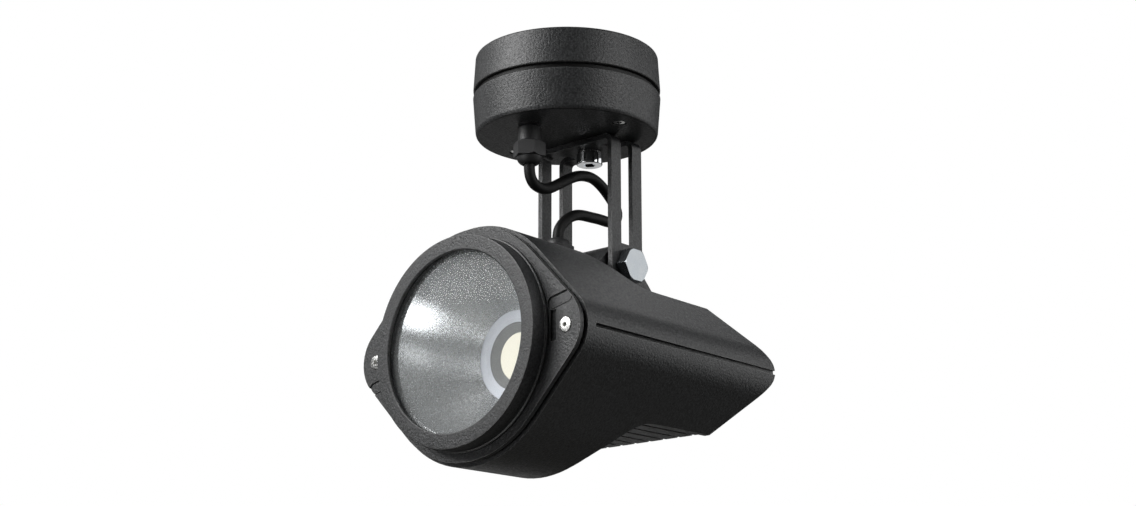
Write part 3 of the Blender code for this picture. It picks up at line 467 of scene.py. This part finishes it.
def hexagonal(name, across, near, far, centre, along, turn=0.0):
    """A six-sided bar from near to far along an axis, in millimetres. Turn is in radians about that axis."""
    nothing_selected()
    along = Vector(along)
    middle = Vector(centre) + along * (near + far) / 2 * MM
    turning = along.to_track_quat("Z", "Y").to_euler()
    bpy.ops.mesh.primitive_cylinder_add(
        vertices=6, radius=across / math.sqrt(3) * MM, depth=abs(far - near) * MM,
        location=middle, rotation=turning,
    )
    piece = bpy.context.object
    piece.name = piece.data.name = name
    piece.data.transform(piece.matrix_world @ Matrix.Rotation(turn, 4, "Z"))
    piece.matrix_world = Matrix.Identity(4)
    return piece


def cap_screw(name, node, head_r, head_tall, shank_r, length, socket, centre, along, body):
    """A screw whose head's outer face is at centre and whose shank runs along the axis, in millimetres."""
    out = Vector(along).orthogonal().normalized()
    rim = 0.45
    screw = turned(
        name,
        [
            (0, 0), (head_r - 1.3 * rim, 0), (head_r - 0.5 * rim, 0.25 * rim),
            (head_r - 0.1 * rim, 0.7 * rim), (head_r, 1.3 * rim), (head_r, head_tall),
            (shank_r, head_tall), (shank_r, length - 0.4), (shank_r - 0.4, length), (0, length),
        ],
        centre, out, along, 48,
    )
    cut_by(screw, hexagonal("socket_tool", socket, -1, 0.9 * socket, centre, along))
    finished(screw, body, node, stainless)


for side, word in ((-1, "left"), (1, "right")):
    cap_screw(
        f"cover_cap_screw_{word}", f"cover_screw_{word}", 3.5, 3.2, 2.0, 36, 2.6,
        (side * COVER_SCREW_X * MM, 0, -45.4 * MM), UP, "canopy",
    )

# ---------------------------------------------------------------- cable glands
# M12 glands moulded in black nylon. The body screws into the casting, and the domed cap squeezes a rubber
# seal round the cord. Body and cap each have a hexagon with chamfered corners for a 15 mm spanner.


def chamfered(piece, across, near, far, centre, along, both=True, circle=0.965):
    """Trims a hexagon's corners with the shallow cone that a lathe leaves, at both ends or only at far."""
    corner = across / math.sqrt(3) + 0.4
    flat = across / 2 * circle
    drop = (corner - flat) * math.tan(math.radians(28))
    step = 1 if far > near else -1
    back = near + step * drop if both else near
    section = [(0, near - (0 if both else step)), (flat if both else corner, near - (0 if both else step))]
    section += [(corner, back), (corner, far - step * drop), (flat, far), (0, far)]
    out = Vector(along).orthogonal().normalized()
    blank = turned("blank", section, centre, out, along, 64)
    return cut_by(piece, blank, operation="INTERSECT")


def gland(prefix, names, thread, centre, along, body):
    """Body, seal and cap of one gland, whose flange face lies at centre."""
    out = Vector(along).orthogonal().normalized()
    low = (15.0, 0.3, 5.6, centre, along)
    base_hex = chamfered(hexagonal(prefix + "_gland_base", *low), *low)
    stem = turned(
        "stem",
        [
            (0, 14), (5.8, 14), (5.8, 10.0), (6.5, 9.8), (6.5, 5.0), (6.5, 2), (5.9, 1), (5.9, -thread),
            (0, -thread),
        ],
        centre, out, along, 64,
    )
    cut_by(base_hex, stem, operation="UNION")
    bore = [(0, 16), (3.4, 16), (3.4, -thread - 1), (0, -thread - 1)]
    cut_by(base_hex, turned("bore", bore, centre, out, along, 32))
    eased(base_hex, 0.25, 2, 40)
    finished(base_hex, body, names[0], black_nylon)
    seal_ring = turned(
        prefix + "_gland_seal_ring",
        [(3.3, 18.2), (3.5, 18.4), (5.4, 18.4), (5.7, 18.0), (5.7, 14.4), (3.3, 14.4)],
        centre, out, along, 48,
    )
    finished(seal_ring, body, names[1], black_rubber)
    high = (15.4, 10.3, 18.6, centre, along)
    nut = chamfered(hexagonal(prefix + "_gland_dome_nut", *high), *high)
    dome = turned(
        "dome",
        [
            (0, 22.5), (3.9, 22.5), (4.5, 22.4), (5.1, 22.0), (5.9, 21.2), (6.5, 20.2), (6.95, 19.0),
            (7.0, 18.0), (7.0, 15), (0, 15),
        ],
        centre, out, along, 64,
    )
    cut_by(nut, dome, operation="UNION")
    room = turned(
        "room", [(0, 24), (3.5, 24), (3.5, 18.8), (6.1, 18.8), (6.1, 9), (0, 9)], centre, out, along, 48
    )
    cut_by(nut, room)
    eased(nut, 0.25, 2, 40)
    finished(nut, body, names[2], black_nylon)


gland(
    "canopy", ("canopy_gland_body", "canopy_gland_seal", "canopy_gland_cap"), 7,
    (0, GLAND_Y * MM, -45.9 * MM), DOWN, "canopy",
)
gland(
    "lamp", ("lamp_gland_body", "lamp_gland_seal", "lamp_gland_cap"), 6,
    (0, -7.2 * MM, -127.4 * MM), UP, "lamp",
)

# ---------------------------------------------------------------- pan bolt and its washers
# A chromed cap bolt, polished bright, with a hexagon socket in its plain round head. A spring washer keeps
# the yoke pressed to the nylon washer, so that it turns stiffly and stays where it is put.

PAN = (0, PAN_Y * MM, 0)
pan_bolt = turned(
    "pan_bolt_chromed",
    [
        (0, -30), (3.6, -30), (4, -30.4), (4, -50.6), (7.0, -50.6), (7.2, -50.8), (7.2, -56.5),
        (7.0, -56.85), (6.7, -57.0), (0, -57.0),
    ],
    PAN, RIGHT, UP, 128,
)
cut_by(pan_bolt, hexagonal("socket_tool", 6.0, -53.5, -60, PAN, UP))
eased(pan_bolt, 0.15, 2, 50)
finished(pan_bolt, "canopy", "pan_bolt", chrome)
spring_washer = turned(
    "pan_spring_washer_ring",
    [(4.4, -49.65), (4.6, -49.6), (6.6, -49.6), (6.8, -49.75), (6.8, -50.15), (6.6, -50.3), (4.4, -50.3)],
    PAN, RIGHT, UP, 64,
)
finished(spring_washer, "canopy", "pan_spring_washer", stainless)
slip_washer = turned(
    "pan_slip_washer",
    [(4.4, -45.3), (12.1, -45.3), (12.2, -45.4), (12.2, -45.9), (12.1, -46.0), (4.4, -46.0)],
    PAN, RIGHT, UP, 96,
)
finished(slip_washer, "canopy", "pan_friction_washer", black_nylon)

# ---------------------------------------------------------------- yoke
# Flat aluminium bar, bent into a U, slotted along both arms and powder coated. The slots leave two thin
# strips on each side, and each foot is rounded about the pivot bolt.


def welded_copy(node, name):
    """A solid's own mesh with its triangles joined up, so that its edges can be worked."""
    piece = bpy.data.objects.new(name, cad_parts[node].data.copy())
    bpy.context.scene.collection.objects.link(piece)
    piece.data.name = name
    nothing_selected()
    bpy.context.view_layer.objects.active = piece
    piece.select_set(True)
    bpy.ops.object.mode_set(mode="EDIT")
    bpy.ops.mesh.select_all(action="SELECT")
    bpy.ops.mesh.remove_doubles(threshold=2e-6)
    bpy.ops.mesh.dissolve_limited(angle_limit=math.radians(0.3))
    bpy.ops.mesh.normals_make_consistent(inside=False)
    bpy.ops.object.mode_set(mode="OBJECT")
    return piece


yoke = eased(welded_copy("yoke_bracket", "yoke_bar"), 0.35, 2, 32)
finished(yoke, "yoke", "yoke_bracket", powder_coat)

# ---------------------------------------------------------------- pivot bolt, washers and nut
# A zinc-plated M10 bolt through both feet and the lug. Its head and nut carry the usual 30 degree chamfer,
# and black nylon washers on both sides of the lug hold the lamp at its tilt.

PIVOT = (0, PAN_Y * MM, -119.9 * MM)
SPANNER = 17.0  # across the flats of the head and the nut
CORNERS_LEVEL = math.pi / 6  # turns a hexagon so that two of its corners point to front and rear
bolt = hexagonal("pivot_bolt_zinc", SPANNER, 27.05, 33.45, PIVOT, RIGHT, CORNERS_LEVEL)
chamfered(bolt, SPANNER, 26.0, 33.45, PIVOT, RIGHT, False, 1.05)
shank = turned("shank", [(0, 28), (5, 28), (5, -39.3), (4.3, -40), (0, -40)], PIVOT, REAR, RIGHT, 64)
cut_by(bolt, shank, operation="UNION")
eased(bolt, 0.25, 2, 20)
finished(bolt, "yoke", "pivot_bolt", zinc_plate)
plain_washer = turned(
    "pivot_plain_washer",
    [(5.3, -27.05), (9.7, -27.05), (10, -27.3), (10, -28.8), (9.7, -29.05), (5.3, -29.05)],
    PIVOT, REAR, RIGHT, 96,
)
finished(plain_washer, "yoke", "pivot_washer", zinc_plate)
nut = hexagonal("pivot_hex_nut", SPANNER, -37.35, -29.35, PIVOT, RIGHT, CORNERS_LEVEL)
chamfered(nut, SPANNER, -29.35, -37.35, PIVOT, RIGHT)
cut_by(nut, turned("thread_tool", [(0, -25), (5.3, -25), (5.3, -42), (0, -42)], PIVOT, REAR, RIGHT, 48))
eased(nut, 0.18, 2, 20)
finished(nut, "yoke", "pivot_nut", zinc_plate)
for word, side in (("left", -1), ("right", 1)):
    section = [(5.3, 22.3), (11.4, 22.3), (11.5, 22.5), (11.5, 23.3), (11.4, 23.45), (5.3, 23.45)]
    section = [(radius, side * far) for radius, far in section]
    pad = turned(f"tilt_slip_washer_{word}", section, PIVOT, REAR, RIGHT, 96)
    finished(pad, "yoke", f"tilt_friction_washer_{word}", black_nylon)

# ---------------------------------------------------------------- cord
# A 6 mm round neoprene-sheathed cord from gland to gland. It drops out of the canopy, rises through the yoke,
# loops behind it and comes back to the lamp. It is made as two lengths that meet at the loop.

CORD_ROUTE = [
    (-30.2, -58.0), (-30.2, -66.0), (-30.1, -71.3), (-29.0, -75.4), (-26.0, -78.4), (-20.9, -79.4),
    (-15.0, -78.2), (-7.7, -74.4), (0.5, -69.6), (8.6, -65.7), (16.0, -64.0), (22.5, -64.2), (29.1, -66.7),
    (35.5, -71.0), (40.9, -76.0), (42.6, -80.6), (40.4, -84.6), (34.7, -86.2), (27.0, -86.3), (20.1, -86.7),
    (13.5, -87.1), (8.0, -88.1), (2.4, -90.7), (-2.5, -94.6), (-5.8, -98.6), (-7.1, -102.6), (-7.2, -108.0),
    (-7.2, -114.0),
]
CORD_MEETS = 15  # the point of the route, at the back of the loop, where the two lengths meet
PER_SPAN = 4
CORD_R = 3


def eased_route(points):
    """More points along one smooth curve through the given ones."""
    line = [Vector((0, y * MM, z * MM)) for y, z in points]
    line = [2 * line[0] - line[1]] + line + [2 * line[-1] - line[-2]]
    made = []
    for i in range(1, len(line) - 2):
        before, start, end, after = line[i - 1 : i + 3]
        for step in range(PER_SPAN):
            t = step / PER_SPAN
            bend = 2 * before - 5 * start + 4 * end - after
            ease = 3 * start - before - 3 * end + after
            made.append(start + ((end - before) * t + bend * t**2 + ease * t**3) / 2)
    return made + [line[-2]]


def cord_length(name, route):
    """A round cord along a route, as a mesh."""
    curve = bpy.data.curves.new(name, "CURVE")
    curve.dimensions = "3D"
    curve.bevel_depth = CORD_R * MM
    curve.bevel_resolution = 6
    curve.use_fill_caps = True
    spline = curve.splines.new("POLY")
    spline.points.add(len(route) - 1)
    for point, at in zip(spline.points, route):
        point.co = (*at, 1)
    cord = bpy.data.objects.new(name, curve)
    bpy.context.scene.collection.objects.link(cord)
    nothing_selected()
    bpy.context.view_layer.objects.active = cord
    cord.select_set(True)
    bpy.ops.object.convert(target="MESH")
    cord = bpy.context.object
    bpy.ops.object.mode_set(mode="EDIT")
    bpy.ops.mesh.select_all(action="SELECT")
    bpy.ops.mesh.remove_doubles(threshold=1e-6)
    bpy.ops.mesh.normals_make_consistent(inside=False)
    bpy.ops.object.mode_set(mode="OBJECT")
    bpy.ops.object.shade_smooth_by_angle(angle=math.radians(40))
    cord.data.materials.clear()
    cord.data.materials.append(black_rubber)
    return cord


whole_route = eased_route(CORD_ROUTE)
meets = CORD_MEETS * PER_SPAN
upper_cord = cord_length("cord_upper_length", whole_route[: meets + 1])
lower_cord = cord_length("cord_lower_length", whole_route[meets:])
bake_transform(upper_cord)
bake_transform(lower_cord)
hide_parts("supply_cord")
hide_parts("supply_cord")

# ---------------------------------------------------------------- lamp housing
# One aluminium casting: a barrel with two ears, ten thick cooling fins with narrow slots between them above
# and below a web, and a lug on top for the pivot bolt. A slim groove runs along each ear's ridge, where the
# two halves of the mould met.

housing = eased(welded_copy("lamp_housing", "housing_casting"), 0.5, 2, 24)
finished(housing, "lamp", "lamp_housing", powder_coat)

# ---------------------------------------------------------------- front flange
# A 2.5 mm plate on a thin rubber gasket, held by a cap screw in each ear. Each ear has a shallow oval, and
# beside the round opening a sunk notch where the bezel's catch is pressed.

gasket = eased(welded_copy("flange_gasket", "flange_seal"), 0.15, 1, 40)
finished(gasket, "lamp", "flange_gasket", black_rubber)


def oval_bar(name, radius, straight, depth, centre, tilt):
    """A bar with round ends, along the lamp's axis, in millimetres, turned by a tilt in degrees."""
    nothing_selected()
    bpy.ops.mesh.primitive_cylinder_add(vertices=48, radius=radius * MM, depth=depth * MM)
    bar = bpy.context.object
    bar.name = bar.data.name = name
    for vertex in bar.data.vertices:
        vertex.co.x += math.copysign(straight * MM, vertex.co.x)
    level = Matrix.Rotation(math.pi / 2, 4, "X") @ Matrix.Rotation(math.radians(tilt), 4, "Z")
    bar.data.transform(Matrix.Translation(centre) @ level)
    return bar


OVAL_X = 62.8
OVAL_ABOVE = 13.1  # above the lamp's axis on the right ear, and below it on the left
OVAL_TILT = 12
FLANGE_SCREW_X = 66.3
FLANGE_SCREW_Y = -76.7
flange = eased(welded_copy("front_flange", "flange_plate"), 0.3, 2, 40)
for side in (-1, 1):
    oval_at = (side * OVAL_X * MM, (PAN_Y - 95.2) * MM, (LAMP_AXIS_Z + side * OVAL_ABOVE) * MM)
    rim = oval_bar("oval_rim", 3.5, 4.8, 2.0, oval_at, OVAL_TILT)
    cut_by(rim, oval_bar("oval_middle", 2.4, 4.6, 4.0, oval_at, OVAL_TILT))
    cut_by(flange, rim)
finished(flange, "lamp", "front_flange", powder_coat)
for side, word in ((-1, "left"), (1, "right")):
    cap_screw(
        f"flange_cap_screw_{word}", f"flange_screw_{word}", 3.8, 1.7, 2.0, 14, 2.5,
        (side * FLANGE_SCREW_X * MM, FLANGE_SCREW_Y * MM, LAMP_AXIS_Z * MM), REAR, "lamp",
    )

# ---------------------------------------------------------------- bezel, its seal and the glass
# The bezel is turned: a deep ring with a small lip at its foot and another round the glass, powder coated.
# Clear toughened glass, 4 mm thick, is pressed up to the lip with a rubber seal between.

AXIS = (0, PAN_Y * MM, LAMP_AXIS_Z * MM)
bezel = turned(
    "bezel_turning",
    [
        (46.7, 105.25), (46.95, 105.5), (47.3, 105.6), (53.9, 105.6), (54.35, 105.45), (54.6, 105.0),
        (54.6, 97.2), (54.75, 96.8), (55.3, 96.6), (55.5, 96.35), (55.5, 95.6), (55.3, 95.4), (52.2, 95.4),
        (52.2, 88.2), (52.0, 88.0), (50.6, 88.0), (50.6, 103.6), (46.9, 103.6), (46.7, 103.8),
    ],
    AXIS, RIGHT, FORWARD, 192,
)
finished(bezel, "lamp", "bezel_ring", powder_coat)
glass_seal = turned(
    "glass_seal",
    [
        (47.2, 103.1), (47.4, 103.3), (50.0, 103.3), (50.2, 103.1), (50.2, 102.5), (50.0, 102.3),
        (47.2, 102.3),
    ],
    AXIS, RIGHT, FORWARD, 160,
)
finished(glass_seal, "lamp", "glass_gasket", black_rubber)
clear_glass = new_finish("toughened_clear_glass", "#f4f8f8", 0.02, Alpha=0.07)
glass = turned(
    "glass_disc",
    [(0, 102), (49.4, 102), (49.8, 101.85), (50, 101.5), (50, 98.5), (49.8, 98.15), (49.4, 98), (0, 98)],
    AXIS, RIGHT, FORWARD, 160,
)
finished(glass, "lamp", "front_glass", clear_glass)

# ---------------------------------------------------------------- reflector and collar
# Spun aluminium, bead-blasted and brightened, so that its bowl is silky and finely stippled and blurs what it
# mirrors. A white moulded collar centres it round the light source.

satin_aluminium = grain(
    new_finish("blasted_bright_aluminium", "#e0e2e4", 0.26, 1.0, Anisotropic=0.8, Anisotropic_Rotation=0.25),
    0.9, 0.2, 0.06, (0.18, 0.32), ("#d8dbde", "#e8e9e9"), 3.0,
)
blasted = satin_aluminium.node_tree
spun = add_node(blasted, "ShaderNodeTangent", {"direction_type": "RADIAL", "axis": "Y"})
blasted.links.new(spun.outputs[0], blasted.nodes["Principled BSDF"].inputs["Tangent"])
MOUTH_R, MOUTH = 46.9, 97.7
THROAT_R, THROAT = 23.8, 60.5
BELLY = 3.2  # how far the bowl swells outside a straight cone
BOWL_STEPS = 24
bowl = []
for i in range(BOWL_STEPS + 1):
    t = i / BOWL_STEPS
    swell = BELLY * math.sin(math.pi * t)
    bowl.append((MOUTH_R + (THROAT_R - MOUTH_R) * t + swell, MOUTH - (MOUTH - THROAT) * t))
back = [(radius + 1.0, far) for radius, far in bowl]
lip = [(MOUTH_R, MOUTH), (49.5, 97.7), (49.8, 97.4), (49.8, 96.9), (49.6, 96.7), (48.2, 96.7)]
reflector = turned("reflector_spinning", lip + back[1:] + bowl[:0:-1], AXIS, RIGHT, FORWARD, 192)
finished(reflector, "lamp", "reflector", satin_aluminium)
collar = turned(
    "collar_moulding",
    [
        (19.5, 60.2), (24.9, 60.2), (25.2, 59.9), (25.2, 59.2), (25.0, 59.0), (18.0, 59.0), (17.8, 59.2),
        (19.2, 60.0),
    ],
    AXIS, RIGHT, FORWARD, 128,
)
finished(collar, "lamp", "reflector_collar", white_plastic)

# ---------------------------------------------------------------- light source
# A chip-on-board LED: a round patch of phosphor on a white ceramic board, clamped by a grey moulded carrier
# with two small screws. The patch glows a warm white, and the carrier steps down to it like a shallow funnel.

holder = turned(
    "led_carrier",
    [
        (16.4, 58.7), (18.6, 58.7), (24.3, 58.7), (24.5, 58.5), (24.5, 57.9), (32.7, 57.9), (33.0, 57.6),
        (33.0, 56.4), (32.7, 56.1), (13.1, 56.1), (13.1, 56.5),
    ],
    AXIS, RIGHT, FORWARD, 128,
)
HOLDER_SCREW_X = 29
for side in (-1, 1):
    hole_at = (side * HOLDER_SCREW_X * MM, PAN_Y * MM, LAMP_AXIS_Z * MM)
    cut_by(holder, turned("hole", [(0, 60), (1.8, 60), (1.8, 54), (0, 54)], hole_at, RIGHT, FORWARD, 24))
finished(holder, "lamp", "led_holder", grey_plastic)
for side, word in ((-1, "left"), (1, "right")):
    cap_screw(
        f"carrier_screw_{word}", f"holder_screw_{word}", 2.7, 2.0, 1.5, 10, 2.0,
        (side * HOLDER_SCREW_X * MM, (PAN_Y - 60.2) * MM, LAMP_AXIS_Z * MM), REAR, "lamp",
    )
phosphor = new_finish(
    "lit_yellow_phosphor", "#4f4c42", 0.6, Emission_Color=hex_colour("#fffbe8"), Emission_Strength=0.86
)
emitter = turned(
    "led_phosphor_patch", [(0, 57.1), (11.9, 57.1), (12.3, 57.0), (12.6, 56.7), (12.6, 56.1), (0, 56.1)],
    AXIS, RIGHT, FORWARD, 96,
)
finished(emitter, "lamp", "led_emitter", phosphor)

# ---------------------------------------------------------------- what the castings hide
# The power supply, the terminals, the nuts inside the canopy and the board and pad behind the light source
# are plain bought parts, and their own solids are right as they are. They only need their finishes.

ceramic = grain(
    new_finish("white_alumina_ceramic", "#c4c4bf", 0.35),
    0.5, 0.1, 0.02, (0.3, 0.42), ("#bdbdb8", "#cacac6"), 2.0,
)
silicone_pad = grain(
    new_finish("grey_silicone_pad", "#9a9a9e", 0.8),
    0.5, 0.2, 0.03, (0.72, 0.88), ("#939397", "#a1a1a5"), 2.0,
)
for node, finish in {
    "led_driver": white_plastic, "terminal_block": grey_plastic,
    "gland_locknut": black_nylon, "pan_nut": zinc_plate, "led_board": ceramic, "thermal_pad": silicone_pad,
}.items():
    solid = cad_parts[node]
    solid.data.materials.clear()
    solid.data.materials.append(finish)
